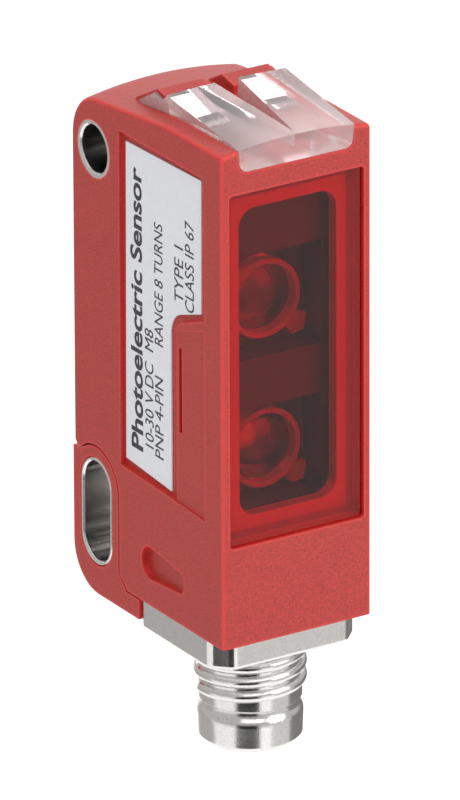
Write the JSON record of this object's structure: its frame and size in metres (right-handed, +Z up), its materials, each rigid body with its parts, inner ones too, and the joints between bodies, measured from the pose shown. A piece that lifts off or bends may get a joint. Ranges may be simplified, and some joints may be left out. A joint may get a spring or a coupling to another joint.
{
  "type": "photoelectric sensor",
  "caption": "Compact cubic photoelectric sensor with a red filter window, clear indicator light guide, two metal-sleeved mounting holes and a threaded round plug connector.",
  "frame": {"origin": "centre of the upper mounting bore, midway between the two side faces", "axes": "+X along the upper mounting bore, +Y towards the rear face, +Z up; the optical window faces -Y"},
  "size_m": [0.0114, 0.0183, 0.0448],
  "materials": {
    "red_housing": "fine spark-eroded grain, semi-matt",
    "nickel_sleeve": "turned and nickel plated, bright",
    "nickel_diecast": "die-cast, nickel plated, satin on the flat faces",
    "red_filter": "polished dark red",
    "clear_adhesive": "cured clear adhesive",
    "clear_guide": "polished clear, grained side walls",
    "label_film": "satin laminated film",
    "black_insulator": "moulded, matt black",
    "gold_contact": "gold flash, bright",
    "black_rubber": "smooth, lightly greased",
    "clear_lens": "polished optical surface",
    "lens_clip": "translucent moulding",
    "blackened_steel": "chemically blackened",
    "red_emitter": "clear red epoxy",
    "brass_screw": "turned, bright",
    "white_slider": "moulded, slightly waxy",
    "silvered_mirror": "front silvered",
    "green_board": "solder resist over glass laminate",
    "amber_flex": "polyimide film",
    "green_lamp": "tinted epoxy",
    "yellow_lamp": "tinted epoxy",
    "black_chip": "moulded epoxy",
    "tinplate": "drawn and tinned",
    "chip_parts": "fired ceramic with tinned ends"
  },
  "bodies": {
    "sensor_body": {"main_housing": "red_housing", "rear_foot": "red_housing", "upper_sleeve": "nickel_sleeve", "lower_slotted_sleeve": "nickel_sleeve", "filter_window": "red_filter", "window_adhesive": "clear_adhesive", "light_guide": "clear_guide", "type_label": "label_film", "connector_body": "nickel_diecast", "contact_carrier": "black_insulator", "contact_pins": "gold_contact", "connector_seal": "black_rubber", "optics_carrier": "black_insulator", "receiver_lens": "clear_lens", "transmitter_lens": "clear_lens", "receiver_lens_clip": "lens_clip", "transmitter_lens_clip": "lens_clip", "aperture_plate": "blackened_steel", "transmitter_led": "red_emitter", "circuit_board": "green_board", "connector_board": "green_board", "flex_ribbon": "amber_flex", "indicator_board": "green_board", "power_indicator": "green_lamp", "output_indicator": "yellow_lamp", "receiver_board": "green_board", "receiver_detector": "black_chip", "shield_can": "tinplate", "amplifier_chip": "black_chip", "controller_chip": "black_chip", "small_components": "chip_parts"},
    "spindle": {"adjusting_spindle": "brass_screw", "spindle_seal": "black_rubber"},
    "carriage": {"mirror_carriage": "white_slider", "deflecting_mirror": "silvered_mirror"}
  },
  "joints": [
    {"name": "spindle_turn", "type": "hinge", "parent": "sensor_body", "child": "spindle", "pos_m": [0, 0.0026, -0.01], "axis": [0, -1, 0], "range_deg": [-1445, 1445]},
    {"name": "mirror_travel", "type": "slide", "parent": "sensor_body", "child": "carriage", "axis": [0, -1, 0], "range_m": [-0.001, 0.001]}
  ],
  "couplings": [
    {"joint": "spindle_turn", "follows": "mirror_travel", "rad_per_m": 25133}
  ]
}
